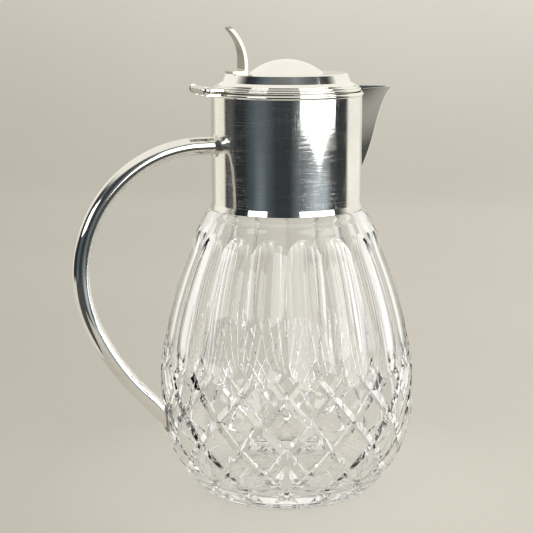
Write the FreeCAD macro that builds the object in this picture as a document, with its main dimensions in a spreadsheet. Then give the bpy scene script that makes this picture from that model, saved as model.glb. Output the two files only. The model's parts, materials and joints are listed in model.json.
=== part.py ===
import FreeCAD, Part
import math
import os
import re

import Sketcher
from FreeCAD import Placement, Rotation, Vector

# Cut-crystal jug with a silver-plated collar, spout, tube handle and hinged lid.
# Frame: origin at the centre of the foot, +Z up, spout towards +X, handle and hinge towards -X.
# Pieces on the handle side are drawn facing +X and turned half a turn about Z into place.

os.makedirs("parts", exist_ok=True)
doc = FreeCAD.newDocument("Jug")

SIZES = [
    # crystal body
    ("body_radius", 74.6), ("widest_level", 54.0), ("side_curve", 228.0), ("lower_curve", 71.0),
    ("shoulder_width", 7.2), ("shoulder_rise", 4.5), ("shoulder_round", 8.5),
    ("neck_height", 21.5), ("neck_wall", 5.2), ("glass_wall", 6.0),
    ("inner_shoulder_drop", 5.0), ("inner_shoulder_rise", 8.0), ("inner_shoulder_round", 11.0),
    ("knee_level", 18.0), ("knee_round", 12.3), ("knee_run", 10.3), ("base_thickness", 12.5),
    ("foot_chamfer", 1.2),
    # oval flutes ground round the shoulder
    ("flute_count", 18), ("flute_share", 0.4022), ("flute_depth", 3.3), ("flute_top_drop", 2.0),
    ("flute_foot_rise", 19.0),
    # collar
    ("collar_radius", 43.0), ("collar_wall", 0.8), ("collar_height", 65.9), ("collar_lap", 0.2),
    ("foot_band_height", 3.2), ("foot_band_reach", 0.9), ("rim_bead_radius", 1.2),
    ("rim_bead_drop", 0.3), ("bedding_thickness", 2.0), ("bedding_height", 20.0),
    # spout
    ("spout_lift", 1.4), ("spout_root_rise", 13.7), ("spout_throw", 22.6), ("spout_half_width", 18.0),
    ("spout_wall", 1.0), ("spout_bead_gap", 0.38), ("spout_keel_round", 4.4),
    ("window_drop", 4.2), ("window_margin", 4.0), ("window_foot_rise", 9.5),
    # handle; the bends keep their proportions to the handle's span
    ("tube_radius", 5.0), ("tube_wall", 1.1), ("handle_rise", 36.3), ("handle_end_drop", 16.0),
    ("straight_share", 0.14095), ("upper_bend_share", 0.41434), ("upper_turn_share", 0.79526),
    ("back_bend_share", 0.43499), ("back_turn_share", 0.40158), ("lower_bend_share", 0.89064),
    ("lower_turn_share", 0.16221), ("seat_thickness", 1.0), ("seat_margin", 1.4),
    ("seat_corner", 5.6), ("pad_thickness", 0.8), ("pad_drop", 14.8), ("pad_rise", 1.0),
    ("pad_margin", 0.4), ("pad_corner", 3.2),
    # lid
    ("lid_gap", 0.4), ("lid_inset", 0.5), ("lid_band_height", 3.7), ("lid_step", 7.0),
    ("lid_height", 10.1), ("lid_step_lean", 1.3), ("lid_sheet", 1.0), ("lid_flange_inset", 3.9),
    ("dome_inset", 14.5),
    ("dome_height", 7.7), ("liner_gap", 1.6), ("liner_sheet", 0.8), ("liner_skirt", 3.4),
    # thumbpiece
    ("thumb_inset", 10.3), ("thumb_thickness", 1.8), ("thumb_bend_rise", 6.7),
    ("thumb_tip_throw", 8.8), ("thumb_height", 26.1), ("thumb_curve", 26.5),
    ("thumb_foot_length", 8.4), ("thumb_foot_thickness", 1.6), ("thumb_width", 14.0),
    ("thumb_tip_width", 7.6), ("thumb_taper_rise", 4.7),
    # hinge
    ("hinge_throw", 8.0), ("hinge_rise", 1.8), ("knuckle_radius", 2.0), ("pin_radius", 1.0),
    ("pin_clearance", 0.05), ("hinge_width", 26.0), ("knuckle_gap", 0.3), ("knuckle_clear", 0.4),
    ("lid_knuckle", 5.2), ("middle_knuckle", 4.8), ("leaf_thickness", 1.2),
    ("collar_leaf_drop", 0.1), ("lid_leaf_lift", 1.2), ("pin_head_lap", 0.3), ("pin_head_length", 1.6),
]

# Sizes that follow from the ones above, so that pieces stay seated on each other.
FOLLOWS = {
    "neck_radius": "collar_radius - collar_wall - bedding_thickness",
    "bore_radius": "neck_radius - neck_wall",
    "shoulder_level": "widest_level + sqrt(side_curve^2"
                      " - (side_curve - body_radius + neck_radius + shoulder_width)^2)",
    "neck_foot": "shoulder_level + shoulder_rise",
    "neck_top": "neck_foot + neck_height",
    "inner_shoulder_level": "shoulder_level - inner_shoulder_drop",
    "flute_radius": "flute_share * body_radius",
    "flute_top_level": "shoulder_level - flute_top_drop",
    "flute_foot_level": "widest_level + flute_foot_rise",
    "flute_skin": "0.135 * (flute_top_level - flute_foot_level)^2 / side_curve - flute_depth",
    "collar_bore": "collar_radius - collar_wall",
    "collar_foot": "neck_foot - collar_lap",
    "collar_top": "collar_foot + collar_height",
    "bedding_top": "neck_foot + bedding_height",
    "spout_top": "collar_top + spout_lift",
    "spout_root": "collar_foot + spout_root_rise",
    "spout_reach": "collar_radius + spout_throw",
    "spout_gap_angle": "2 * asin((spout_half_width + spout_bead_gap) / collar_radius) / 1 deg",
    "window_top": "collar_top - window_drop",
    "window_foot": "spout_root + window_foot_rise",
    "window_half_width": "spout_half_width - window_margin",
    "tube_bore": "tube_radius - tube_wall",
    "handle_level": "collar_foot + handle_rise",
    "handle_end_level": "widest_level - handle_end_drop",
    "handle_span": "handle_level - handle_end_level",
    "handle_straight": "body_radius - straight_share * handle_span",
    "upper_bend": "upper_bend_share * handle_span",
    "upper_bend_level": "handle_end_level + upper_turn_share * handle_span",
    "back_bend": "back_bend_share * handle_span",
    "back_bend_level": "handle_end_level + back_turn_share * handle_span",
    "lower_bend": "lower_bend_share * handle_span",
    "lower_bend_level": "handle_end_level + lower_turn_share * handle_span",
    "seat_half": "tube_radius + seat_margin",
    "pad_low": "widest_level - pad_drop",
    "pad_high": "widest_level + pad_rise",
    "pad_half_width": "tube_radius + pad_margin",
    "lid_radius": "collar_radius - lid_inset",
    "lid_step_radius": "lid_radius - lid_step",
    "lid_top": "collar_top + lid_height",
    "lid_flange_radius": "lid_radius - lid_flange_inset",
    "dome_radius": "lid_step_radius - dome_inset",
    "dome_top": "lid_top + dome_height",
    "liner_radius": "collar_bore - liner_gap",
    "thumb_face": "lid_step_radius - thumb_inset",
    "thumb_bend_level": "lid_top + thumb_bend_rise",
    "thumb_tip_reach": "thumb_face + thumb_tip_throw",
    "thumb_tip_level": "lid_top + thumb_height",
    "thumb_foot_end": "thumb_face + thumb_foot_length",
    "thumb_taper_level": "lid_top + thumb_taper_rise",
    "hinge_reach": "collar_radius + hinge_throw",
    "hinge_level": "collar_top + hinge_rise",
    "leaf_end": "hinge_reach - knuckle_radius - knuckle_clear",
    "collar_leaf_top": "collar_top - collar_leaf_drop",
    "lid_leaf_foot": "collar_top + lid_leaf_lift",
    "pin_head_radius": "knuckle_radius + pin_head_lap",
}

sheet = doc.addObject("Spreadsheet::Sheet", "Sizes")
for row, (alias, value) in enumerate(SIZES, start=1):
    sheet.set("A%d" % row, alias)
    sheet.set("B%d" % row, str(value))
    sheet.setAlias("B%d" % row, alias)
doc.recompute()

TURNED = Placement(Vector(0, 0, 0), Rotation(Vector(0, 0, 1), 180))
PIECES = []


def bound(text):
    """The expression with every following size written out and every size pointing at the sheet."""
    def swap(found):
        name = found.group(1)
        return "(%s)" % bound(FOLLOWS[name]) if name in FOLLOWS else "Sizes." + name
    return re.sub(r"\b(?!deg\b)([a-z][a-z_]+)\b(?!\()", swap, str(text))


def size(text):
    """Present value of an expression made of size names."""
    return float(sheet.evalExpression(bound(text)))


def tie(thing, path, text):
    """Bind one property of an object to an expression of the sheet's sizes."""
    thing.setExpression(path, bound(text))


def new_body(label, turned=False):
    body = doc.addObject("PartDesign::Body", label)
    body.Label = label
    if turned:
        body.Placement = TURNED
    PIECES.append(body)
    return body


def plane(body, role):
    return [item for item in body.Origin.OriginFeatures if item.Role == role][0]


def new_sketch(body, role, name, offset=None):
    sketch = body.newObject("Sketcher::SketchObject", name)
    sketch.AttachmentSupport = [(plane(body, role), "")]
    sketch.MapMode = "FlatFace"
    if offset is not None:
        tie(sketch, "AttachmentOffset.Base.z", offset)
        doc.recompute()
    return sketch


def hold(sketch, geo, spot, x_text, y_text):
    """Fix one point of a sketch by its two coordinates, each an expression."""
    for kind, text, axis in (("DistanceX", x_text, -2), ("DistanceY", y_text, -1)):
        if str(text) == "0":
            sketch.addConstraint(Sketcher.Constraint("PointOnObject", geo, spot, axis))
            continue
        index = sketch.addConstraint(Sketcher.Constraint(kind, -1, 1, geo, spot, size(text)))
        tie(sketch, "Constraints[%d]" % index, text)


def arc_between(start, end, radius, turn):
    """Arc from start to end; turn +1 runs anticlockwise, -1 clockwise."""
    chord = end - start
    half = chord.Length / 2
    rise = math.sqrt(max(radius * radius - half * half, 0.0))
    across = Vector(-chord.y, chord.x, 0).normalize()
    centre = start + chord * 0.5 + across * (rise * turn)
    first, last = (start, end) if turn > 0 else (end, start)
    from_angle = math.atan2(first.y - centre.y, first.x - centre.x)
    to_angle = math.atan2(last.y - centre.y, last.x - centre.x)
    if to_angle < from_angle:
        to_angle += 2 * math.pi
    return Part.ArcOfCircle(Part.Circle(centre, Vector(0, 0, 1), radius), from_angle, to_angle)


def cap_radius(start, end):
    """Radius of a shallow cap whose apex lies on the turning axis."""
    run = abs(end.x - start.x)
    rise = abs(end.y - start.y)
    shallow, steep = min(run, rise), max(run, rise)
    return (shallow * shallow + steep * steep) / (2 * shallow)


def outline(sketch, corners, arcs=None, cap_axis=-2):
    """Closed outline through corners; arcs gives {side number: (radius, turn)}.

    A radius of "cap" makes a spherical cap centred on the turning axis.
    """
    arcs = arcs or {}
    points = [Vector(size(x_text), size(y_text), 0) for x_text, y_text in corners]
    ends = []
    for side, start in enumerate(points):
        end = points[(side + 1) % len(points)]
        if side in arcs:
            radius, turn = arcs[side]
            span = cap_radius(start, end) if radius == "cap" else size(radius)
            geo = sketch.addGeometry(arc_between(start, end, span, turn), False)
            ends.append((geo, 1, 2) if turn > 0 else (geo, 2, 1))
        else:
            geo = sketch.addGeometry(Part.LineSegment(start, end), False)
            ends.append((geo, 1, 2))
    for side, (geo, first, last) in enumerate(ends):
        after = ends[(side + 1) % len(ends)]
        sketch.addConstraint(Sketcher.Constraint("Coincident", geo, last, after[0], after[1]))
    for (geo, first, last), (x_text, y_text) in zip(ends, corners):
        hold(sketch, geo, first, x_text, y_text)
    for side, (radius, turn) in arcs.items():
        if radius == "cap":
            sketch.addConstraint(Sketcher.Constraint("PointOnObject", ends[side][0], 3, cap_axis))
            continue
        index = sketch.addConstraint(Sketcher.Constraint("Radius", ends[side][0], size(radius)))
        tie(sketch, "Constraints[%d]" % index, radius)
    return ends


def circle(sketch, x_text, y_text, radius):
    geo = sketch.addGeometry(Part.Circle(Vector(size(x_text), size(y_text), 0),
                                         Vector(0, 0, 1), size(radius)), False)
    hold(sketch, geo, 3, x_text, y_text)
    index = sketch.addConstraint(Sketcher.Constraint("Radius", geo, size(radius)))
    tie(sketch, "Constraints[%d]" % index, radius)
    return geo


def spin(body, kind, name, sketch, angle="360", axis="V_Axis"):
    """Revolution or Groove of a sketch about one of its own axes or lines."""
    feature = body.newObject("PartDesign::" + kind, name)
    feature.Profile = sketch
    feature.ReferenceAxis = (sketch, [axis])
    if str(angle) == "360":
        feature.Angle = 360
    else:
        tie(feature, "Angle", angle)
    doc.recompute()
    return feature


def ring(label, corners, arcs=None, turned=False):
    """A piece turned about the jug's axis from one outline."""
    body = new_body(label, turned)
    sketch = new_sketch(body, "XZ_Plane", label + "_profile")
    outline(sketch, corners, arcs)
    spin(body, "Revolution", label + "_turning", sketch)
    return body


def trim_inside(body, name, corners, arcs=None):
    """Groove away everything within an outline turned about the jug's axis."""
    sketch = new_sketch(body, "XZ_Plane", name + "_profile")
    outline(sketch, corners, arcs)
    return spin(body, "Groove", name, sketch)


def side_reach(level, skin="0"):
    """Radius of the crystal's flank above its widest level, skin mm outside it."""
    return ("body_radius - side_curve + sqrt((side_curve + %s)^2 - (%s - widest_level)^2)"
            % (skin, level))


def lower_reach(level, skin="0"):
    """Radius of the crystal's flank below its widest level, skin mm outside it."""
    return ("body_radius - lower_curve + sqrt((lower_curve + %s)^2 - (widest_level - %s)^2)"
            % (skin, level))


def glass_body():
    """Blown and ground crystal: outer flank, neck, bore, heavy base and oval flutes."""
    body = new_body("glass_body")
    sketch = new_sketch(body, "XZ_Plane", "glass_profile")
    inner = "0 - glass_wall"
    knee = "(%s)" % lower_reach("knee_level", inner)
    corners = [
        ("0", "0"),
        ("(%s) - foot_chamfer" % lower_reach("0"), "0"),
        (lower_reach("foot_chamfer"), "foot_chamfer"),
        ("body_radius", "widest_level"),
        (side_reach("shoulder_level"), "shoulder_level"),
        ("neck_radius", "neck_foot"),
        ("neck_radius", "neck_top"),
        ("bore_radius", "neck_top"),
        ("bore_radius", "inner_shoulder_level + inner_shoulder_rise"),
        (side_reach("inner_shoulder_level", inner), "inner_shoulder_level"),
        ("body_radius - glass_wall", "widest_level"),
        (knee, "knee_level"),
        (knee + " - knee_run", "base_thickness"),
        ("0", "base_thickness"),
    ]
    arcs = {
        2: ("lower_curve", 1), 3: ("side_curve", 1), 4: ("shoulder_round", 1),
        8: ("inner_shoulder_round", -1), 9: ("side_curve - glass_wall", -1),
        10: ("lower_curve - glass_wall", -1), 11: ("knee_round", -1),
    }
    outline(sketch, corners, arcs)
    spin(body, "Revolution", "glass_turning", sketch)

    wheel = new_sketch(body, "XZ_Plane", "flute_cut")
    top_reach = side_reach("flute_top_level", "flute_skin")
    foot_reach = side_reach("flute_foot_level", "flute_skin")
    points = [Vector(size(top_reach), size("flute_top_level"), 0),
              Vector(size(foot_reach), size("flute_foot_level"), 0)]
    along = (points[1] - points[0]).normalize()
    outwards = Vector(-along.y, along.x, 0) * size("flute_radius")
    points += [points[1] + outwards, points[0] + outwards]
    for side in range(4):
        wheel.addGeometry(Part.LineSegment(points[side], points[(side + 1) % 4]), False)
    for side in range(4):
        wheel.addConstraint(Sketcher.Constraint("Coincident", side, 2, (side + 1) % 4, 1))
    hold(wheel, 0, 1, top_reach, "flute_top_level")
    hold(wheel, 0, 2, foot_reach, "flute_foot_level")
    wheel.addConstraint(Sketcher.Constraint("Perpendicular", 0, 1))
    wheel.addConstraint(Sketcher.Constraint("Perpendicular", 0, 3))
    wheel.addConstraint(Sketcher.Constraint("Parallel", 0, 2))
    index = wheel.addConstraint(Sketcher.Constraint("Distance", 1, size("flute_radius")))
    tie(wheel, "Constraints[%d]" % index, "flute_radius")
    flute = spin(body, "Groove", "flute", wheel, axis="Edge3")
    pattern = body.newObject("PartDesign::PolarPattern", "flutes")
    pattern.Originals = [flute]
    pattern.Axis = (plane(body, "Z_Axis"), [""])
    pattern.Angle = 360
    tie(pattern, "Occurrences", "flute_count")
    body.Tip = pattern
    doc.recompute()


def collar():
    """Sheet collar round the neck, its bedding, foot band and top bead."""
    ring("neck_bedding", [
        ("neck_radius", "neck_foot"), ("collar_bore", "neck_foot"), ("collar_bore", "bedding_top"),
        ("neck_radius", "bedding_top")])

    shell = ring("collar_shell", [
        ("collar_bore", "collar_foot"), ("collar_radius", "collar_foot"),
        ("collar_radius", "collar_top"), ("collar_bore", "collar_top")])
    window = new_sketch(shell, "YZ_Plane", "spout_window")
    outline(window, [
        ("0 - window_half_width", "window_top"), ("0", "window_foot"),
        ("window_half_width", "window_top")])
    before = shell.Shape.Volume
    cut = shell.newObject("PartDesign::Pocket", "window_cut")
    cut.Profile = window
    cut.Reversed = True
    tie(cut, "Length", "collar_radius + 5")
    doc.recompute()
    if shell.Shape.Volume > before - 1:
        cut.Reversed = False
        doc.recompute()

    ring("collar_foot_band", [
        ("collar_radius", "collar_foot"), ("collar_radius + foot_band_reach", "collar_foot + 0.1"),
        ("collar_radius + foot_band_reach", "collar_foot + 0.3"),
        ("collar_radius", "collar_foot + foot_band_height")])

    bead = new_body("collar_rim_bead")
    bead.Placement = Placement(Vector(0, 0, 0), Rotation(Vector(0, 0, 1), size("spout_gap_angle / 2")))
    tie(bead, "Placement.Rotation.Angle", "spout_gap_angle / 2")
    sketch = new_sketch(bead, "XZ_Plane", "bead_profile")
    top = "collar_top - rim_bead_drop"
    outline(sketch, [("collar_radius", top + " - rim_bead_radius * 1.8"), ("collar_radius", top)],
            {0: ("rim_bead_radius", 1)})
    spin(bead, "Revolution", "bead_turning", sketch, angle="360 - spout_gap_angle")


def spout_section(body, name, level, reach, half_width, keel_round):
    """One level section of the spout: two flat cheeks meeting in a rounded keel."""
    sketch = new_sketch(body, "XY_Plane", name, offset=level)
    root = "collar_radius - 4"
    root_x, half, tip, keel = size(root), size(half_width), size(reach), size(keel_round)
    centre = tip - keel
    distance = math.hypot(centre - root_x, half)
    lean = math.atan2(half, centre - root_x) + math.asin(keel / distance)
    touch = Vector(centre + keel * math.sin(lean), keel * math.cos(lean), 0)
    mirror = Vector(touch.x, -touch.y, 0)
    back = Vector(root_x, half, 0)
    front = Vector(root_x, -half, 0)
    sketch.addGeometry(Part.LineSegment(front, mirror), False)
    angle = math.atan2(touch.y, touch.x - centre)
    sketch.addGeometry(Part.ArcOfCircle(Part.Circle(Vector(centre, 0, 0), Vector(0, 0, 1), keel),
                                        -angle, angle), False)
    sketch.addGeometry(Part.LineSegment(touch, back), False)
    sketch.addGeometry(Part.LineSegment(back, front), False)
    sketch.addConstraint(Sketcher.Constraint("Tangent", 0, 2, 1, 1))
    sketch.addConstraint(Sketcher.Constraint("Tangent", 1, 2, 2, 1))
    sketch.addConstraint(Sketcher.Constraint("Coincident", 2, 2, 3, 1))
    sketch.addConstraint(Sketcher.Constraint("Coincident", 3, 2, 0, 1))
    hold(sketch, 0, 1, root, "0 - " + half_width)
    hold(sketch, 2, 2, root, half_width)
    hold(sketch, 1, 3, "(%s) - %s" % (reach, keel_round), "0")
    index = sketch.addConstraint(Sketcher.Constraint("Radius", 1, size(keel_round)))
    tie(sketch, "Constraints[%d]" % index, keel_round)
    return sketch


def spout():
    """Open V-shaped lip in sheet, seamed to the outside of the collar."""
    body = new_body("spout")
    # (share of the height, share of the reach beyond the collar, share of the half width)
    shares = [(0.0, 0.01, 0.06), (0.24, 0.28, 0.36), (0.52, 0.5, 0.64), (0.8, 0.7, 0.86), (1.0, 1.0, 1.0)]
    height = "(spout_top - spout_root)"
    reach = "(spout_reach - collar_radius)"
    outer = []
    inner = []
    for number, (up, out, wide) in enumerate(shares, start=1):
        level = "spout_root + %s * %s" % (height, up)
        tip = "(collar_radius + %s * %s)" % (reach, out)
        half = "spout_half_width * %s" % wide
        outer.append(spout_section(body, "spout_outer_%d" % number, level, tip, half,
                                   "(spout_keel_round * (0.25 + 0.75 * %s))" % wide))
        if number == 1:
            continue
        lift = " + spout_wall" if number == len(shares) else ""
        inner.append((body, "spout_inner_%d" % number, level + lift,
                      "(%s - spout_wall * 1.25)" % tip, "(%s - spout_wall)" % half,
                      "(spout_keel_round * (0.12 + 0.5 * %s))" % wide))
    loft = body.newObject("PartDesign::AdditiveLoft", "spout_skin")
    loft.Profile = outer[0]
    loft.Sections = outer[1:]
    doc.recompute()
    hollow_sections = [spout_section(*item) for item in inner]
    hollow = body.newObject("PartDesign::SubtractiveLoft", "spout_hollow")
    hollow.Profile = hollow_sections[0]
    hollow.Sections = hollow_sections[1:]
    doc.recompute()
    trim_inside(body, "collar_seam", [
        ("0", "spout_root - 5"), ("collar_radius", "spout_root - 5"),
        ("collar_radius", "spout_top + 5"), ("0", "spout_top + 5")])


def handle_path(body):
    """Centre line of the handle: straight, three tangent bends, straight."""
    sketch = new_sketch(body, "XZ_Plane", "handle_path")
    start = Vector(size("collar_radius - 3"), size("handle_level"), 0)
    here = Vector(size("handle_straight"), start.y, 0)
    sketch.addGeometry(Part.LineSegment(start, here), False)
    heading = 0.0
    bends = [("upper_bend", "upper_bend_level"), ("back_bend", "back_bend_level"),
             ("lower_bend", "lower_bend_level")]
    for bend, level in bends:
        radius = size(bend)
        centre = here + Vector(math.sin(heading), -math.cos(heading), 0) * radius
        begin = math.atan2(here.y - centre.y, here.x - centre.x)
        finish = math.asin((size(level) - centre.y) / radius)
        sketch.addGeometry(Part.ArcOfCircle(Part.Circle(centre, Vector(0, 0, 1), radius),
                                            finish, begin), False)
        here = centre + Vector(math.cos(finish), math.sin(finish), 0) * radius
        heading = finish - math.pi / 2
    run = (here.y - size("handle_end_level")) / -math.sin(heading)
    end = here + Vector(math.cos(heading), math.sin(heading), 0) * run
    sketch.addGeometry(Part.LineSegment(here, end), False)
    sketch.addConstraint(Sketcher.Constraint("Horizontal", 0))
    sketch.addConstraint(Sketcher.Constraint("Tangent", 0, 2, 1, 2))
    sketch.addConstraint(Sketcher.Constraint("Tangent", 1, 1, 2, 2))
    sketch.addConstraint(Sketcher.Constraint("Tangent", 2, 1, 3, 2))
    sketch.addConstraint(Sketcher.Constraint("Tangent", 3, 1, 4, 1))
    hold(sketch, 0, 1, "collar_radius - 3", "handle_level")
    ties = [("DistanceX", 0, 2, "handle_straight"), ("DistanceY", 1, 1, "upper_bend_level"),
            ("DistanceY", 2, 1, "back_bend_level"), ("DistanceY", 3, 1, "lower_bend_level"),
            ("DistanceY", 4, 2, "handle_end_level")]
    for kind, geo, spot, text in ties:
        index = sketch.addConstraint(Sketcher.Constraint(kind, -1, 1, geo, spot, size(text)))
        tie(sketch, "Constraints[%d]" % index, text)
    for geo, (bend, level) in enumerate(bends, start=1):
        index = sketch.addConstraint(Sketcher.Constraint("Radius", geo, size(bend)))
        tie(sketch, "Constraints[%d]" % index, bend)
    return sketch


def handle():
    """Hollow tube handle, the seat it is soldered to and the pad it rests on."""
    body = new_body("handle_tube", turned=True)
    path = handle_path(body)
    for kind, radius in (("AdditivePipe", "tube_radius"), ("SubtractivePipe", "tube_bore")):
        section = new_sketch(body, "YZ_Plane", radius + "_section", offset="collar_radius - 3")
        circle(section, "0", "handle_level", radius)
        pipe = body.newObject("PartDesign::" + kind, radius + "_pipe")
        pipe.Profile = section
        pipe.Spine = (path, [])
        doc.recompute()
    seat_face = "collar_radius + seat_thickness"
    trim_inside(body, "seat_cut", [
        ("0", "handle_level - 15"), (seat_face, "handle_level - 15"),
        (seat_face, "handle_level + 15"), ("0", "handle_level + 15")])
    low, high = "handle_end_level - 12", "handle_end_level + 50"
    trim_inside(body, "pad_cut", [
        ("0", low), (lower_reach("(%s)" % low, "pad_thickness"), low),
        ("body_radius + pad_thickness", "widest_level"),
        (side_reach("(%s)" % high, "pad_thickness"), high), ("0", high)],
        {1: ("lower_curve + pad_thickness", 1), 2: ("side_curve + pad_thickness", 1)})

    seat = patch("handle_seat", [
        ("collar_radius", "handle_level - seat_half"), (seat_face, "handle_level - seat_half"),
        (seat_face, "handle_level + seat_half"), ("collar_radius", "handle_level + seat_half")],
        {}, "2 * 57.2958 * seat_half / collar_radius")
    round_corners(seat, "seat_thickness", "seat_corner")

    pad = patch("handle_pad", [
        (lower_reach("pad_low"), "pad_low"), (lower_reach("pad_low", "pad_thickness"), "pad_low"),
        (lower_reach("pad_high", "pad_thickness"), "pad_high"), (lower_reach("pad_high"), "pad_high")],
        {1: ("lower_curve + pad_thickness", 1), 3: ("lower_curve", -1)},
        "2 * 57.2958 * pad_half_width / body_radius")
    round_corners(pad, "pad_thickness", "pad_corner")


def patch(label, corners, arcs, angle):
    """A small piece of ring centred on the handle side."""
    body = new_body(label)
    sketch = new_sketch(body, "XZ_Plane", label + "_profile")
    outline(sketch, corners, arcs)
    spin(body, "Revolution", label + "_turning", sketch, angle=angle)
    body.Placement = Placement(Vector(0, 0, 0), Rotation(Vector(0, 0, 1), 180 - size(angle) / 2))
    tie(body, "Placement.Rotation.Angle", "180 - (%s) / 2" % angle)
    doc.recompute()
    return body


def round_corners(body, thickness, radius):
    """Round the four corners of a thin patch, seen square on."""
    solid = body.Tip.Shape
    edges = []
    for number, edge in enumerate(solid.Edges, start=1):
        if abs(edge.Length - size(thickness)) < 0.15 * size(thickness):
            edges.append("Edge%d" % number)
    rounding = body.newObject("PartDesign::Fillet", body.Label + "_corners")
    rounding.Base = (body.Tip if body.Tip != rounding else rounding.BaseFeature, edges)
    tie(rounding, "Radius", radius)
    doc.recompute()


# lowest reed of the lid's band: where it stands, how tall and how round it is
REED_REACH = "lid_radius - 0.7"
REED_HEIGHT = "1.5 * lid_band_height / 3.7"
REED_ROUND = "0.78 * lid_band_height / 3.7"


def lid():
    """Pressed lid with a stepped top and a plain dome, its reeded band and its liner."""
    foot = "collar_top + lid_gap"
    band_top = foot + " + lid_band_height"
    wall_foot = band_top + " + 1.3"
    ring("lid_shell", [
        ("0", "dome_top - lid_sheet"), ("0", "dome_top"), ("dome_radius", "lid_top"),
        ("lid_step_radius - 1.2", "lid_top"), ("lid_step_radius - 0.5", "lid_top - 0.5"),
        ("lid_step_radius + lid_step_lean", wall_foot), ("lid_flange_radius", band_top),
        ("lid_step_radius + lid_step_lean - lid_sheet", band_top),
        ("lid_step_radius - 0.5 - lid_sheet", "lid_top - lid_sheet"),
        ("dome_radius", "lid_top - lid_sheet")],
        {1: ("cap", -1), 9: ("cap", 1)})
    bead = "lid_band_height / 3.7"
    inner = "lid_step_radius + 0.4"
    reed_top = foot + " + " + REED_HEIGHT
    ring("lid_band", [
        (inner, foot), (REED_REACH, foot), (REED_REACH, reed_top), ("lid_radius - 1.7", reed_top),
        ("lid_radius - 1.7", foot + " + 2.7 * %s" % bead),
        ("lid_radius - 3.2", foot + " + 2.7 * %s" % bead), ("lid_radius - 3.4", band_top),
        (inner, band_top)],
        {1: (REED_ROUND, 1), 3: ("0.64 * %s" % bead, 1), 5: ("0.6 * %s" % bead, 1)})
    ring("lid_liner", [
        ("0", foot + " - liner_sheet"), ("liner_radius - liner_sheet", foot + " - liner_sheet"),
        ("liner_radius - liner_sheet", foot + " - liner_skirt"),
        ("liner_radius", foot + " - liner_skirt"), ("liner_radius", foot), ("0", foot)])


def thumbpiece():
    """Curved thumb tongue standing on the lid, its foot and tip rolled over."""
    body = new_body("thumbpiece", turned=True)
    sketch = new_sketch(body, "XZ_Plane", "thumb_profile")
    back = "thumb_face + thumb_thickness"
    foot_top = "lid_top + thumb_foot_thickness"
    outline(sketch, [
        ("thumb_face", "lid_top"), ("thumb_foot_end", "lid_top"), ("thumb_foot_end", foot_top),
        (back + " + 1.2", foot_top), (back, foot_top + " + 1.2"), (back, "thumb_bend_level"),
        ("thumb_tip_reach + 0.9", "thumb_tip_level - 1.6"), ("thumb_tip_reach", "thumb_tip_level"),
        ("thumb_face", "thumb_bend_level")],
        {1: ("thumb_foot_thickness * 0.62", 1), 3: ("1.2", -1),
         5: ("thumb_curve - thumb_thickness", -1), 6: ("1.05", 1), 7: ("thumb_curve", 1)})
    pad = body.newObject("PartDesign::Pad", "thumb_strip")
    pad.Profile = sketch
    pad.SideType = "Symmetric"
    tie(pad, "Length", "thumb_width")
    doc.recompute()
    taper = new_sketch(body, "YZ_Plane", "thumb_taper")
    for side in ("", "0 - "):
        outline(taper, [
            (side + "thumb_width / 2", "thumb_taper_level"), (side + "thumb_width", "thumb_taper_level"),
            (side + "thumb_width", "thumb_tip_level + 5"),
            (side + "thumb_tip_width * 0.3", "thumb_tip_level + 0.2"),
            (side + "thumb_tip_width / 2", "thumb_tip_level - 1.5")])
    before = body.Shape.Volume
    cut = body.newObject("PartDesign::Pocket", "thumb_sides")
    cut.Profile = taper
    cut.Reversed = True
    tie(cut, "Length", "thumb_tip_reach + 10")
    doc.recompute()
    if body.Shape.Volume > before - 1:
        cut.Reversed = False
        doc.recompute()


def bar(body, name, role, corners, start, length):
    """Pad an outline by a length, beginning at a signed offset from its plane."""
    sketch = new_sketch(body, role, name + "_profile", offset=start)
    outline(sketch, corners)
    pad = body.newObject("PartDesign::Pad", name)
    pad.Profile = sketch
    tie(pad, "Length", length)
    doc.recompute()


def knuckle(body, name, start, length):
    """One hinge barrel along Y; the XZ plane faces -Y, so its offset runs towards -Y."""
    sketch = new_sketch(body, "XZ_Plane", name + "_profile", offset=start)
    circle(sketch, "hinge_reach", "hinge_level", "knuckle_radius")
    pad = body.newObject("PartDesign::Pad", name)
    pad.Profile = sketch
    tie(pad, "Length", length)
    doc.recompute()


def bore(body, name, radius):
    sketch = new_sketch(body, "XZ_Plane", name + "_profile", offset="0 - hinge_width")
    circle(sketch, "hinge_reach", "hinge_level", radius)
    before = body.Shape.Volume
    cut = body.newObject("PartDesign::Pocket", name)
    cut.Profile = sketch
    cut.Reversed = True
    tie(cut, "Length", "hinge_width * 2")
    doc.recompute()
    if body.Shape.Volume > before - 1:
        cut.Reversed = False
        doc.recompute()


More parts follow.
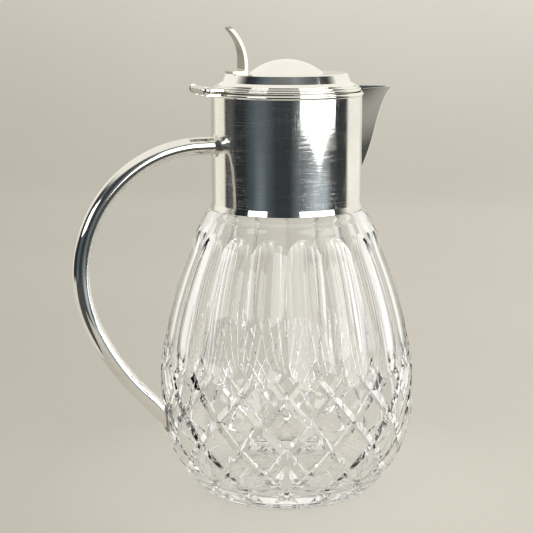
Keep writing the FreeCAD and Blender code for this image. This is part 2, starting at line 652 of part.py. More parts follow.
def hinge():
    """Five-knuckle butt hinge: lid leaf, collar leaf, pin and its two heads."""
    half = "hinge_width / 2"
    lid_low = "(middle_knuckle / 2 + knuckle_gap)"
    leaf_start = "0 - " + half
    lid_leaf = new_body("lid_hinge_leaf", turned=True)
    top = "lid_leaf_foot + leaf_thickness"
    bar(lid_leaf, "lid_leaf_plate", "XZ_Plane", [
        ("lid_radius - 1.2", "lid_leaf_foot"), ("leaf_end", "lid_leaf_foot"), ("leaf_end", top),
        ("lid_radius - 1.2", top)], leaf_start, "hinge_width")
    for number, start in ((1, lid_low), (2, "0 - %s - lid_knuckle" % lid_low)):
        bar(lid_leaf, "lid_web_%d" % number, "XZ_Plane", [
            ("leaf_end - 0.5", "lid_leaf_foot"), ("hinge_reach", "lid_leaf_foot"),
            ("hinge_reach", top), ("leaf_end - 0.5", top)], start, "lid_knuckle")
        knuckle(lid_leaf, "lid_knuckle_%d" % number, start, "lid_knuckle")
    bore(lid_leaf, "lid_leaf_bore", "pin_radius + pin_clearance")
    # the leaf is soldered against the lowest reed of the lid's band
    reed_foot = "collar_top + lid_gap"
    reed_top = reed_foot + " + " + REED_HEIGHT
    trim_inside(lid_leaf, "lid_leaf_seam", [
        ("0", reed_foot), (REED_REACH, reed_foot), (REED_REACH, reed_top), ("0", reed_top)],
        {1: (REED_ROUND, 1)})

    collar_leaf = new_body("collar_hinge_leaf", turned=True)
    foot = "collar_leaf_top - leaf_thickness"
    bar(collar_leaf, "collar_leaf_plate", "XZ_Plane", [
        ("collar_radius - 2", foot), ("leaf_end", foot), ("leaf_end", "collar_leaf_top"),
        ("collar_radius - 2", "collar_leaf_top")], leaf_start, "hinge_width")
    outer = "(hinge_width / 2 - middle_knuckle / 2 - lid_knuckle - 2 * knuckle_gap)"
    starts = [(1, leaf_start, outer), (2, "0 - middle_knuckle / 2", "middle_knuckle"),
              (3, half + " - " + outer, outer)]
    for number, start, length in starts:
        bar(collar_leaf, "collar_web_%d" % number, "XZ_Plane", [
            ("leaf_end - 0.5", foot), ("hinge_reach", foot),
            ("hinge_reach", "collar_leaf_top + 0.5"), ("leaf_end - 0.5", "collar_leaf_top")],
            start, length)
        knuckle(collar_leaf, "collar_knuckle_%d" % number, start, length)
    bore(collar_leaf, "collar_leaf_bore", "pin_radius")
    bead_reach = "collar_radius + rim_bead_radius * 1.5"
    trim_inside(collar_leaf, "collar_leaf_seam", [
        ("0", foot + " - 1"), (bead_reach, foot + " - 1"), (bead_reach, "collar_leaf_top + 1"),
        ("0", "collar_leaf_top + 1")])

    pin = new_body("hinge_pin", turned=True)
    sketch = new_sketch(pin, "XZ_Plane", "pin_profile", offset=leaf_start)
    circle(sketch, "hinge_reach", "hinge_level", "pin_radius")
    pad = pin.newObject("PartDesign::Pad", "pin_rod")
    pad.Profile = sketch
    tie(pad, "Length", "hinge_width")
    for label, side in (("pin_head_near", 1), ("pin_head_far", -1)):
        head(label, side)


def head(label, side):
    """Domed pin head at one end of the barrel."""
    body = new_body(label, turned=True)
    sketch = new_sketch(body, "XY_Plane", label + "_profile", offset="hinge_level")
    flip = "" if side > 0 else "0 - "
    inner = flip + "hinge_width / 2"
    shoulder = flip + "(hinge_width / 2 + pin_head_length * 0.3)"
    end = flip + "(hinge_width / 2 + pin_head_length)"
    outline(sketch, [
        ("hinge_reach", inner), ("hinge_reach + pin_head_radius", inner),
        ("hinge_reach + pin_head_radius", shoulder), ("hinge_reach", end)],
        {2: ("cap", side)}, cap_axis=3)
    spin(body, "Revolution", label + "_turning", sketch, axis="Edge4")


glass_body()
collar()
spout()
handle()
lid()
thumbpiece()
hinge()
doc.recompute()

faults = [item.Label for item in doc.Objects if "Invalid" in item.State or "Error" in item.State]
for piece in PIECES:
    if piece.Shape.isNull() or not piece.Shape.isValid() or piece.Shape.Volume <= 0:
        faults.append(piece.Label)
if faults:
    raise RuntimeError("not built: " + ", ".join(faults))

for piece in PIECES:
    piece.Shape.exportStep("parts/%s.step" % piece.Label)
    box = piece.Shape.BoundBox
    print("%-18s %9.1f mm3  solids %d  x %.1f %.1f  y %.1f %.1f  z %.1f %.1f" % (
        piece.Label, piece.Shape.Volume, len(piece.Shape.Solids), box.XMin, box.XMax,
        box.YMin, box.YMax, box.ZMin, box.ZMax))
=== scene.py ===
import json
import math

import bpy
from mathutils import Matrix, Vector


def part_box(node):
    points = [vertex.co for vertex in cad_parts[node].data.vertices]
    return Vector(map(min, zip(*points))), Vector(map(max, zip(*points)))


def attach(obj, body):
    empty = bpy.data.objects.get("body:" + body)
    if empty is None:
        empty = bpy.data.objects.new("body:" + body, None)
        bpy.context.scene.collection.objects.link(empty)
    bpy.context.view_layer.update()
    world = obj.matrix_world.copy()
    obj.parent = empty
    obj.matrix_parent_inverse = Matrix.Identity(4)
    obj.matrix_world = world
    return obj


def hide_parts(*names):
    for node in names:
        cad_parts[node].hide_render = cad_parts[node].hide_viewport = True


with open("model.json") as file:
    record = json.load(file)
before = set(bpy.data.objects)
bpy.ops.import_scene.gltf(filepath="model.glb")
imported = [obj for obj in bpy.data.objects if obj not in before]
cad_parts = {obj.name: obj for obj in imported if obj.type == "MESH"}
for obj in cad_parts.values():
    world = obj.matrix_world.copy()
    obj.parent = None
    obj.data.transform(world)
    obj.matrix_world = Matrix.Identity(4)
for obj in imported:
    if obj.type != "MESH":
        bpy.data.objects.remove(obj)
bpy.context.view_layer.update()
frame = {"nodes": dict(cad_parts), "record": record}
MM = 0.001
TURN = 2 * math.pi


# ---------------------------------------------------------------- shader writing

class Wire:
    """One socket of a node tree; arithmetic on it adds Math nodes."""

    def __init__(self, finish, socket):
        self.finish = finish
        self.socket = socket

    def maths(self, operation, *others, clamp=False):
        values = {0: self}
        for number, other in enumerate(others, start=1):
            values[number] = other
        return self.finish.node("ShaderNodeMath", {"operation": operation, "use_clamp": clamp}, values)

    def __add__(self, other):
        return self.maths("ADD", other)

    __radd__ = __add__

    def __mul__(self, other):
        return self.maths("MULTIPLY", other)

    __rmul__ = __mul__

    def __sub__(self, other):
        return self.maths("SUBTRACT", other)

    def __rsub__(self, other):
        return self.finish.node("ShaderNodeMath", {"operation": "SUBTRACT"}, {0: other, 1: self})

    def __truediv__(self, other):
        return self.maths("DIVIDE", other)

    def __pow__(self, other):
        return self.maths("POWER", other)

    def clamped(self):
        return self.maths("ADD", 0.0, clamp=True)


class Finish:
    """A node tree being written; node() adds any node from its type, settings and socket values."""

    def __init__(self, name, tree=None):
        if tree is None:
            self.material = bpy.data.materials.new(name)
            self.material.use_nodes = True
            tree = self.material.node_tree
        tree.nodes.clear()
        self.tree = tree

    def node(self, kind, settings=None, values=None, out=0):
        made = self.tree.nodes.new(kind)
        for key, value in (settings or {}).items():
            if key == "stops":
                ramp = made.color_ramp
                while len(ramp.elements) > 1:
                    ramp.elements.remove(ramp.elements[-1])
                for number, (place, colour) in enumerate(value):
                    stop = ramp.elements[0] if number == 0 else ramp.elements.new(place)
                    stop.position = place
                    stop.color = (*colour, 1.0)
            elif key == "easing":
                made.color_ramp.interpolation = value
            else:
                setattr(made, key, value)
        for key, value in (values or {}).items():
            socket = made.inputs[key]
            if isinstance(value, Wire):
                self.tree.links.new(value.socket, socket)
            else:
                socket.default_value = value
        return Wire(self, made.outputs[out])

    def place(self, scale=(1.0, 1.0, 1.0), shift=(0.0, 0.0, 0.0)):
        coords = self.node("ShaderNodeTexCoord", out="Object")
        return self.node("ShaderNodeMapping", values={"Vector": coords, "Scale": scale, "Location": shift})

    def grain(self, scale, detail=4.0, rough=0.5, stretch=(1.0, 1.0, 1.0), shift=(0.0, 0.0, 0.0)):
        return self.node("ShaderNodeTexNoise", values={
            "Vector": self.place(stretch, shift), "Scale": scale, "Detail": detail, "Roughness": rough})

    def hairlines(self, scale, stretch, tilt, width):
        """Thin wandering lines, 1 on a line and 0 off it."""
        coords = self.node("ShaderNodeTexCoord", out="Object")
        laid = self.node("ShaderNodeMapping", values={
            "Vector": coords, "Scale": stretch, "Rotation": tilt,
            "Location": (0.13 * scale / 50, 0.4, 0.2)})
        field = self.node("ShaderNodeTexNoise", values={
            "Vector": laid, "Scale": scale, "Detail": 1.5, "Roughness": 0.5})
        return (1.0 - (field - 0.5).maths("ABSOLUTE") / width).clamped()

    def ramp(self, value, stops, easing="LINEAR"):
        return self.node("ShaderNodeValToRGB", {"stops": stops, "easing": easing}, {"Fac": value})

    def blend(self, share, first, second, mode="MIX"):
        made = self.node("ShaderNodeMix", {"data_type": "RGBA", "blend_type": mode},
                         {0: share, 6: first, 7: second}, out=2)
        return made

    def eased(self, value, start, end):
        """0 up to start, 1 from end on, smooth between."""
        return self.node("ShaderNodeMapRange", {"interpolation_type": "SMOOTHSTEP"}, {
            "Value": value, "From Min": start, "From Max": end, "To Min": 0.0, "To Max": 1.0})

    def along(self, vector, direction):
        """How far a vector reaches along a direction."""
        return self.node("ShaderNodeVectorMath", {"operation": "DOT_PRODUCT"},
                         {0: vector, 1: tuple(direction)}, out="Value")

    def bump(self, height, strength, distance):
        return self.node("ShaderNodeBump", values={
            "Height": height, "Strength": strength, "Distance": distance})

    def close(self, surface, volume=None):
        values = {"Surface": surface}
        if volume is not None:
            values["Volume"] = volume
        output = self.tree.nodes.new("ShaderNodeOutputMaterial")
        for key, value in values.items():
            self.tree.links.new(value.socket, output.inputs[key])
        return self.material


def silver(name, colour=(0.93, 0.92, 0.885), polish=0.045, haze=0.2, scratch=0.35, tarnish=0.12, grime=0.0,
           brush=0.34):
    """Silver plate: warm white metal, cloudy polish, fine wiping scratches, a little tarnish."""
    made = Finish(name)
    cloud = made.grain(38.0, 5.0, 0.6)
    patch = made.grain(14.0, 3.0, 0.5, shift=(0.7, 0.2, 0.4))
    fine = made.grain(900.0, 3.0, 0.7, stretch=(0.35, 0.35, 1.6))
    wipe = made.grain(60.0, 3.0, 0.6, stretch=(1.0, 1.0, 34.0))
    thin = made.grain(30.0, 3.0, 0.6, shift=(0.1, 0.5, 0.9))
    hairs = (made.hairlines(50.0, (0.5, 0.5, 11.0), (0.05, 0.03, 0.0), 0.007)
             + made.hairlines(40.0, (9.0, 9.0, 0.6), (0.6, 0.4, 0.2), 0.006)
             + made.hairlines(44.0, (9.0, 9.0, 0.7), (-0.9, 0.7, 0.5), 0.006))
    lines = (hairs * (thin * 2.6 - 0.85).clamped() * scratch).clamped()
    brushed = ((wipe - 0.5) * 2.4).clamped() * scratch
    shade = made.ramp(cloud, [(0.30, tuple(c * (1 - tarnish) for c in colour)), (0.62, colour)])
    marked = made.blend((lines * 0.6).clamped(), shade, (0.86, 0.86, 0.83, 1.0))
    body = made.blend((((patch - 0.35) * 2.0).clamped() * grime).clamped(), marked, (0.42, 0.38, 0.30, 1.0))
    height = wipe * 0.5 + lines * 0.6 + fine * 0.25 + cloud * 0.5
    bump = made.bump(height, scratch * 0.8, 0.00002)
    sharp = made.node("ShaderNodeBsdfPrincipled", values={
        "Base Color": body, "Metallic": 1.0, "Normal": bump,
        "Roughness": (cloud * 0.05 + lines * 0.05 + polish).clamped()})
    soft = made.node("ShaderNodeBsdfPrincipled", values={
        "Base Color": body, "Metallic": 1.0, "Normal": bump,
        "Roughness": (lines * 0.12 + patch * 0.1 + 0.26).clamped()})
    share = (lines * 0.40 + brushed * brush + (patch - 0.45) * 0.3 + haze).clamped()
    return made.close(made.node("ShaderNodeMixShader", values={0: share, 1: sharp, 2: soft}))


def crystal(name):
    """Clear lead crystal: high index, faint waviness and a breath of dust on the ridges."""
    made = Finish(name)
    wave = made.grain(22.0, 2.0, 0.4)
    dust = made.grain(260.0, 6.0, 0.7)
    rough = ((dust - 0.62) * 0.25).clamped()
    surface = made.node("ShaderNodeBsdfPrincipled", values={
        "Base Color": made.blend((wave * 0.6).clamped(), (1.0, 1.0, 1.0, 1.0), (0.985, 0.995, 0.99, 1.0)),
        "Roughness": rough, "IOR": 1.545, "Transmission Weight": 1.0,
        "Normal": made.bump(wave, 0.25, 0.0004)})
    through = made.node("ShaderNodeBsdfTransparent", values={"Color": (0.95, 0.96, 0.96, 1.0)})
    shadow = made.node("ShaderNodeLightPath", out="Is Shadow Ray")
    return made.close(made.node("ShaderNodeMixShader", values={0: shadow * 0.7, 1: surface, 2: through}))


def matt(name, dark, light, rough=0.85, grain=180.0, lift=0.0003):
    """A dull, slightly grainy filler."""
    made = Finish(name)
    speck = made.grain(grain, 8.0, 0.7)
    surface = made.node("ShaderNodeBsdfPrincipled", values={
        "Base Color": made.ramp(speck, [(0.3, dark), (0.7, light)]),
        "Roughness": (speck * 0.15 + (rough - 0.1)).clamped(),
        "Normal": made.bump(speck, 0.4, lift)})
    return made.close(surface)


# ---------------------------------------------------------------- bench tools

def put_down():
    if bpy.context.object is not None and bpy.context.object.mode != "OBJECT":
        bpy.ops.object.mode_set(mode="OBJECT")
    bpy.ops.object.select_all(action="DESELECT")


def take(piece):
    put_down()
    piece.select_set(True)
    bpy.context.view_layer.objects.active = piece
    return piece


def settle(piece, name):
    """Name a piece and put its place into its mesh."""
    take(piece)
    bpy.ops.object.transform_apply(location=True, rotation=True, scale=True)
    piece.name = name
    piece.data.name = name
    return piece


def turned_on_axis(name, outline, steps):
    """Turn an outline of (radius, level) points about the Z axis into a closed piece."""
    put_down()
    bpy.ops.mesh.primitive_plane_add(size=0.001)
    piece = bpy.context.object
    bpy.ops.object.mode_set(mode="EDIT")
    bpy.ops.mesh.merge(type="CENTER")
    bpy.ops.mesh.select_all(action="SELECT")
    radius, level = outline[0]
    bpy.ops.transform.translate(value=(radius, 0, level))
    for next_radius, next_level in outline[1:]:
        bpy.ops.mesh.extrude_region_move(
            TRANSFORM_OT_translate={"value": (next_radius - radius, 0, next_level - level)})
        radius, level = next_radius, next_level
    bpy.ops.mesh.select_all(action="SELECT")
    bpy.ops.mesh.spin(steps=steps, angle=TURN, center=(0, 0, 0), axis=(0, 0, 1))
    bpy.ops.mesh.select_all(action="SELECT")
    bpy.ops.mesh.remove_doubles(threshold=0.000005)
    bpy.ops.mesh.normals_make_consistent(inside=False)
    bpy.ops.object.mode_set(mode="OBJECT")
    return settle(piece, name)


def cut_away(piece, cutter):
    """Boolean one piece out of another and throw the cutter away."""
    take(piece)
    modifier = piece.modifiers.new("cut", "BOOLEAN")
    modifier.operation = "DIFFERENCE"
    modifier.solver = "EXACT"
    modifier.object = cutter
    bpy.ops.object.modifier_apply(modifier=modifier.name)
    bpy.data.objects.remove(cutter, do_unlink=True)


def arc_points(start, end, centre, count):
    """Points along an arc about centre, start and end included."""
    first = math.atan2(start[1] - centre[1], start[0] - centre[0])
    last = math.atan2(end[1] - centre[1], end[0] - centre[0])
    near = math.hypot(start[0] - centre[0], start[1] - centre[1])
    far = math.hypot(end[0] - centre[0], end[1] - centre[1])
    points = []
    for step in range(count + 1):
        share = step / count
        angle = first + (last - first) * share
        radius = near + (far - near) * share
        points.append((centre[0] + radius * math.cos(angle), centre[1] + radius * math.sin(angle)))
    return points


# ---------------------------------------------------------------- crystal body

glass_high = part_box("glass_body")[1]
BODY_RADIUS = glass_high[1]
NECK_TOP = glass_high[2]
NECK_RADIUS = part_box("neck_bedding")[1][1] - 2.0 * MM
WALL = 6.0 * MM
WIDEST = 54.0 * MM
SIDE_CURVE = 228.0 * MM
LOWER_CURVE = 71.0 * MM
SHOULDER_LEVEL = 162.0 * MM
NECK_FOOT = SHOULDER_LEVEL + 4.4 * MM
INNER_SHOULDER_LEVEL = 157.0 * MM
FOOT_CHAMFER = 1.4 * MM
FOOT_WIDTH = 6.0 * MM
BASE_HOLLOW = 2.0 * MM
BASE_THICKNESS = 13.0 * MM
KNEE_LEVEL = 19.0 * MM
FLUTES = 18
PITCH = 360 // FLUTES
STEPS = FLUTES * 12


def flank(level):
    """Outer radius of the crystal at a level."""
    curve = SIDE_CURVE if level > WIDEST else LOWER_CURVE
    return BODY_RADIUS - curve + math.sqrt(curve ** 2 - (level - WIDEST) ** 2)


def flank_slope(level):
    """Outward normal of the crystal at a level, in the plane of radius and height."""
    curve = SIDE_CURVE if level > WIDEST else LOWER_CURVE
    rise = (level - WIDEST) / curve
    return math.sqrt(1 - rise ** 2), rise


def crystal_outline():
    """Half section of the crystal, from the middle of the base round the outside and back inside."""
    shoulder = arc_points((flank(SHOULDER_LEVEL), SHOULDER_LEVEL), (NECK_RADIUS, NECK_FOOT),
                          (NECK_RADIUS - 0.2 * MM, NECK_FOOT - 8.3 * MM), 8)
    side = arc_points((BODY_RADIUS, WIDEST), shoulder[0], (BODY_RADIUS - SIDE_CURVE, WIDEST), 64)
    foot_edge = flank(0.0) - FOOT_CHAMFER
    lower = arc_points((flank(FOOT_CHAMFER), FOOT_CHAMFER), (BODY_RADIUS, WIDEST),
                       (BODY_RADIUS - LOWER_CURVE, WIDEST), 40)
    grooves = [(flank(level * MM) - sink * MM, level * MM)
               for level, sink in ((2.7, 0.0), (3.3, 0.55), (3.9, 0.0), (5.2, 0.0), (5.7, 0.45), (6.2, 0.0))]
    lower = lower[:1] + grooves + [point for point in lower if point[1] > 6.6 * MM]
    hollow_edge = foot_edge - FOOT_WIDTH
    hollow_curve = (hollow_edge ** 2 + BASE_HOLLOW ** 2) / (2 * BASE_HOLLOW)
    under = []
    for step in range(12):
        radius = hollow_edge * step / 12
        under.append((radius, BASE_HOLLOW - hollow_curve + math.sqrt(hollow_curve ** 2 - radius ** 2)))
    rim = [(NECK_RADIUS, NECK_TOP - 1.0 * MM), (NECK_RADIUS - 0.5 * MM, NECK_TOP - 0.2 * MM),
           (NECK_RADIUS - 1.0 * MM, NECK_TOP), (NECK_RADIUS - 4.2 * MM, NECK_TOP),
           (NECK_RADIUS - 4.8 * MM, NECK_TOP - 0.3 * MM), (NECK_RADIUS - 5.2 * MM, NECK_TOP - 1.2 * MM)]
    bore = NECK_RADIUS - 5.2 * MM
    inner_reach = BODY_RADIUS - SIDE_CURVE + math.sqrt(
        (SIDE_CURVE - WALL) ** 2 - (INNER_SHOULDER_LEVEL - WIDEST) ** 2)
    inner_shoulder = arc_points((bore, INNER_SHOULDER_LEVEL + 8.0 * MM), (inner_reach, INNER_SHOULDER_LEVEL),
                                (bore - 2.5 * MM, INNER_SHOULDER_LEVEL - 3.0 * MM), 10)
    inner_side = arc_points((inner_reach, INNER_SHOULDER_LEVEL), (BODY_RADIUS - WALL, WIDEST),
                            (BODY_RADIUS - SIDE_CURVE, WIDEST), 40)
    knee = BODY_RADIUS - LOWER_CURVE + math.sqrt((LOWER_CURVE - WALL) ** 2 - (WIDEST - KNEE_LEVEL) ** 2)
    inner_lower = arc_points((BODY_RADIUS - WALL, WIDEST), (knee, KNEE_LEVEL),
                             (BODY_RADIUS - LOWER_CURVE, WIDEST), 26)
    bend = [(knee - 2.2 * MM, KNEE_LEVEL - 2.6 * MM), (knee - 5.0 * MM, KNEE_LEVEL - 4.5 * MM),
            (knee - 8.4 * MM, BASE_THICKNESS + 0.45 * MM), (knee - 12.0 * MM, BASE_THICKNESS)]
    floor = [(radius * MM, BASE_THICKNESS) for radius in (38, 30, 20, 10, 0)]
    return (under + [(hollow_edge, 0.0), (foot_edge, 0.0)] + lower + side[1:] + shoulder[1:] + rim
            + inner_shoulder + inner_side[1:] + inner_lower[1:] + bend + floor)


FLUTE_TOP, FLUTE_FOOT = 155.5 * MM, 77.5 * MM
FLUTE_DEPTH, FLUTE_WHEEL, FLUTE_RUN = 3.2 * MM, 29.0 * MM, 42.0 * MM


def flute_wheels(first):
    """Six flute cutters round the shoulder, every third flute from the first."""
    stations, around = 46, 20
    # the depth falls away over this height at both ends, as the wheel runs out of the glass
    run_out = math.sqrt(2 * FLUTE_RUN * FLUTE_DEPTH)
    spread = math.radians(52)
    verts, faces = [], []
    for number in range(FLUTES // 3):
        angle = math.radians((first + number * 3) * PITCH)
        base = len(verts)
        side = Vector((-math.sin(angle), math.cos(angle), 0))
        for station in range(stations + 1):
            level = FLUTE_FOOT + (FLUTE_TOP - FLUTE_FOOT) * (station / stations * 1.16 - 0.08)
            over = max(FLUTE_FOOT + run_out - level, level - FLUTE_TOP + run_out, 0.0)
            depth = FLUTE_DEPTH - over ** 2 / (2 * FLUTE_RUN)
            out, up = flank_slope(level)
            normal = Vector((out * math.cos(angle), out * math.sin(angle), up))
            radius = flank(level)
            middle = Vector((radius * math.cos(angle), radius * math.sin(angle), level))
            middle += normal * (FLUTE_WHEEL - depth)
            for spoke in range(around + 1):
                swing = spread * (2 * spoke / around - 1)
                verts.append(middle + side * (FLUTE_WHEEL * math.sin(swing))
                             - normal * (FLUTE_WHEEL * math.cos(swing)))
        row = around + 1
        for station in range(stations):
            for spoke in range(row):
                here, after = base + station * row + spoke, base + station * row + (spoke + 1) % row
                faces.append((here, after, after + row, here + row))
        faces.append(tuple(base + spoke for spoke in reversed(range(row))))
        faces.append(tuple(base + stations * row + spoke for spoke in range(row)))
    return cutter_from("flute_wheel", verts, faces)


def cutter_from(name, verts, faces):
    """A closed cutter from its points and faces, normals outward."""
    mesh = bpy.data.meshes.new(name)
    mesh.from_pydata(verts, [], faces)
    cutter = bpy.data.objects.new(name, mesh)
    bpy.context.collection.objects.link(cutter)
    take(cutter)
    bpy.ops.object.mode_set(mode="EDIT")
    bpy.ops.mesh.select_all(action="SELECT")
    bpy.ops.mesh.normals_make_consistent(inside=False)
    bpy.ops.object.mode_set(mode="OBJECT")
    return cutter


def strip_cutter(name, runs, flare=1.0, lift=2.2 * MM):
    """V-shaped cutters along runs of (point, normal, depth); each run is one closed strip."""
    verts, faces = [], []
    for run in runs:
        first = len(verts)
        for number, (point, normal, depth) in enumerate(run):
            ahead = run[min(number + 1, len(run) - 1)][0] - run[max(number - 1, 0)][0]
            across = ahead.cross(normal).normalized()
            reach = across * (depth + lift) * flare
            verts += [point - normal * depth, point + normal * lift + reach,
                      point + normal * lift - reach]
        for number in range(len(run) - 1):
            here = first + number * 3
            for side in range(3):
                after = (side + 1) % 3
                faces.append((here + side, here + after, here + 3 + after, here + 3 + side))
        end = first + (len(run) - 1) * 3
        faces.append((first, first + 2, first + 1))
        faces.append((end, end + 1, end + 2))
    return cutter_from(name, verts, faces)


# rows of the diamond band and the level of each, from above the band down to the foot
ROW_LEVELS = [(-0.4, 94.0), (0.0, 88.0), (1.0, 72.5), (2.0, 57.0), (3.0, 41.8), (4.0, 26.8), (5.0, 13.6),
              (5.5, 8.6), (5.75, 7.0), (5.9, 6.0)]


def row_level(row):
    """Level of a point that is row rows down the diamond band."""
    for (low_row, high_level), (high_row, low_level) in zip(ROW_LEVELS, ROW_LEVELS[1:]):
        if row <= high_row:
            share = (row - low_row) / (high_row - low_row)
            return (high_level + (low_level - high_level) * share) * MM
    return ROW_LEVELS[-1][1] * MM


def diamond_cuts(lean):
    """One family of eighteen slanting mitre cuts; lean is +1 or -1."""
    runs = []
    for number in range(FLUTES):
        run = []
        count = 44
        for step in range(count + 1):
            row = -0.25 + (5.75 + 0.25) * step / count
            level = row_level(row)
            angle = math.radians(number * PITCH + lean * (row - 2) * 10)
            out, up = flank_slope(level)
            radius = flank(level)
            point = Vector((radius * math.cos(angle), radius * math.sin(angle), level))
            normal = Vector((out * math.cos(angle), out * math.sin(angle), up))
            run_in = min(1.0, step / 5, (count - step) / 4)
            depth = (-0.3 + 2.1 * run_in) * MM
            run.append((point, normal, depth))
        runs.append(run)
    return strip_cutter("mitre", runs, flare=1.45)


def star_cuts(first):
    """Six radial mitre cuts under the base, every third from the first."""
    runs = []
    for number in range(first, FLUTES, 3):
        angle = math.radians(number * PITCH)
        run = []
        for step in range(13):
            share = step / 12
            radius = (10.0 + 30.0 * share) * MM
            level = 2.0 * MM * (1 - (radius / (48.0 * MM)) ** 2)
            depth = (0.2 + 2.0 * math.sin(math.pi * share)) * MM
            run.append((Vector((radius * math.cos(angle), radius * math.sin(angle), level)),
                        Vector((0, 0, -1)), depth))
        runs.append(run)
    return strip_cutter("star", runs, lift=1.4 * MM)


def crystal_body():
    """The turned blank with its flutes, diamond bands and star cut in."""
    body = turned_on_axis("crystal_body", crystal_outline(), STEPS)
    for first in range(3):
        cut_away(body, flute_wheels(first))
    for lean in (1, -1):
        cut_away(body, diamond_cuts(lean))
    for first in range(3):
        cut_away(body, star_cuts(first))
    take(body)
    bpy.ops.object.shade_smooth_by_angle(angle=math.radians(24))
    return body


body = crystal_body()
body.data.materials.clear()
body.data.materials.append(crystal("lead_crystal"))
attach(body, "jug")
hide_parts("glass_body")

# ---------------------------------------------------------------- finishes on the mounts

FINISHES = {
    "collar_plate": silver("collar_silver", polish=0.03, haze=0.02, scratch=0.8, tarnish=0.14, brush=0.5),
    "handle_plate": silver("handle_silver", polish=0.03, haze=0.03, scratch=0.25, grime=0.25),
    "spout_plate": silver("spout_silver", polish=0.05, haze=0.08, scratch=0.4, tarnish=0.1, grime=0.25),
    "silver_plate": silver("mount_silver", polish=0.035, haze=0.03, scratch=0.25, tarnish=0.04, grime=0.08),
    "liner_plate": silver("liner_silver", colour=(0.86, 0.85, 0.81), polish=0.12, haze=0.3),
    "bedding_plaster": matt("bedding", (0.70, 0.68, 0.62), (0.86, 0.85, 0.80)),
    "pad_composition": matt("pad", (0.20, 0.20, 0.19), (0.36, 0.36, 0.34), rough=0.7),
}
OWN = {
    "thumbpiece": silver("thumb_silver", colour=(0.42, 0.395, 0.34), polish=0.06, haze=0.1, grime=0.7),
    "collar_foot_band": silver("band_silver", polish=0.03, haze=0.02, scratch=0.4, grime=0.4),
    "lid_hinge_leaf": silver("leaf_silver", polish=0.06, haze=0.2, grime=0.7),
    "collar_hinge_leaf": silver("collar_leaf_silver", polish=0.06, haze=0.2, grime=0.7),
    "handle_seat": silver("seat_silver", polish=0.05, haze=0.2, grime=0.6),
}

for entry in frame["record"]["subparts"]:
    slot = entry["material_slot"]
    if slot not in FINISHES:
        continue
    piece = frame["nodes"][entry["node"]]
    if not piece.material_slots:
        piece.data.materials.append(None)
    for holder in piece.material_slots:
        holder.material = OWN.get(entry["node"], FINISHES[slot])


# ---------------------------------------------------------------- room, light and camera

VIEW_TURN = math.radians(-20)
EYE_DISTANCE, EYE_HEIGHT = 0.723, 0.279
FRONT = Vector((math.sin(VIEW_TURN), -math.cos(VIEW_TURN), 0))
RIGHT = Vector((math.cos(VIEW_TURN), math.sin(VIEW_TURN), 0))


def room_point(right, front, up):
    """A point given to the right of, in front of and above the middle of the foot."""
    return RIGHT * right + FRONT * front + Vector((0, 0, up))


def backdrop():
    """Pale paper sweep: a short table running back into a low curved wall."""
    put_down()
    bpy.ops.mesh.primitive_grid_add(x_subdivisions=60, y_subdivisions=120, size=1.0)
    sweep = bpy.context.object
    near, flat, bend_radius = 0.34, 1.55, 0.3
    for vert in sweep.data.vertices:
        run = (vert.co.y + 0.5) * 2.1
        turned = min(max(run - flat, 0.0) / bend_radius, math.pi / 2)
        past = max(run - flat - bend_radius * math.pi / 2, 0.0)
        front = near - min(run, flat) - bend_radius * math.sin(turned)
        up = bend_radius * (1 - math.cos(turned)) + past
        depth = near - front
        reach = 0.165 + 0.215 * (depth - near) if vert.co.x > 0 else 0.19 + 0.25 * (depth - near)
        vert.co = room_point(vert.co.x * 2 * max(reach, 0.12), front, up - 0.1 * MM)
    sweep = settle(sweep, "sweep")
    made = Finish("sweep_paper")
    cloud = made.grain(1.3, 3.0, 0.5)
    speck = made.grain(140.0, 4.0, 0.6)
    tint = made.ramp(cloud * 0.8 + speck * 0.2, [
        (0.35, (0.215, 0.205, 0.185)), (0.65, (0.235, 0.225, 0.20))])
    spot = made.node("ShaderNodeTexCoord", out="Object")
    across = made.along(spot, RIGHT)
    behind = made.along(spot, -FRONT)
    height = made.along(spot, (0.0, 0.0, 1.0))
    # painted light gathered by the crystal round its foot, and painted shadow in the dimmer patch it stands
    # on
    reach = (across * across + behind * behind) ** 0.5
    painted_caustic_and_shadow = made.ramp(reach / 0.2, [
        (0.0, (0.0, 0.0, 0.0)), (0.19, (0.05, 0.05, 0.05)), (0.26, (1.0, 1.0, 1.0)),
        (0.42, (0.85, 0.85, 0.85)), (0.75, (0.45, 0.45, 0.45))])
    # painted light on the paper's glow: paler to the right and higher up
    painted_light_slant = (across / (behind + EYE_DISTANCE)) * 0.6 + height * 1.6 + 0.88 + painted_caustic_and_shadow * 0.31
    # the paper glows though it is no lamp: this emission is painted light, multiplied by the painted slant
    # and pool
    glow = made.ramp(cloud * 0.85 + speck * 0.15, [
        (0.35, (0.364, 0.346, 0.302)), (0.65, (0.394, 0.375, 0.329))])
    shade = made.node("ShaderNodeCombineColor", values={0: painted_light_slant, 1: painted_light_slant, 2: painted_light_slant})
    sweep.data.materials.append(made.close(made.node("ShaderNodeBsdfPrincipled", values={
        "Base Color": tint, "Roughness": 0.9, "Specular IOR Level": 0.1,
        "Emission Color": made.blend(1.0, glow, shade, "MULTIPLY"),
        "Emission Strength": 1.0, "Normal": made.bump(speck, 0.2, 0.0004)})))
    take(sweep)
    bpy.ops.object.shade_smooth()


def area_light(name, place, target, width, height, power, colour=(1, 1, 1)):
    data = bpy.data.lights.new(name, "AREA")
    data.shape = "RECTANGLE"
    data.size = width
    data.size_y = height
    data.energy = power
    data.color = colour
    lamp = bpy.data.objects.new(name, data)
    bpy.context.collection.objects.link(lamp)
    lamp.location = place
    lamp.rotation_euler = (Vector(target) - Vector(place)).to_track_quat("-Z", "Y").to_euler()
    return lamp


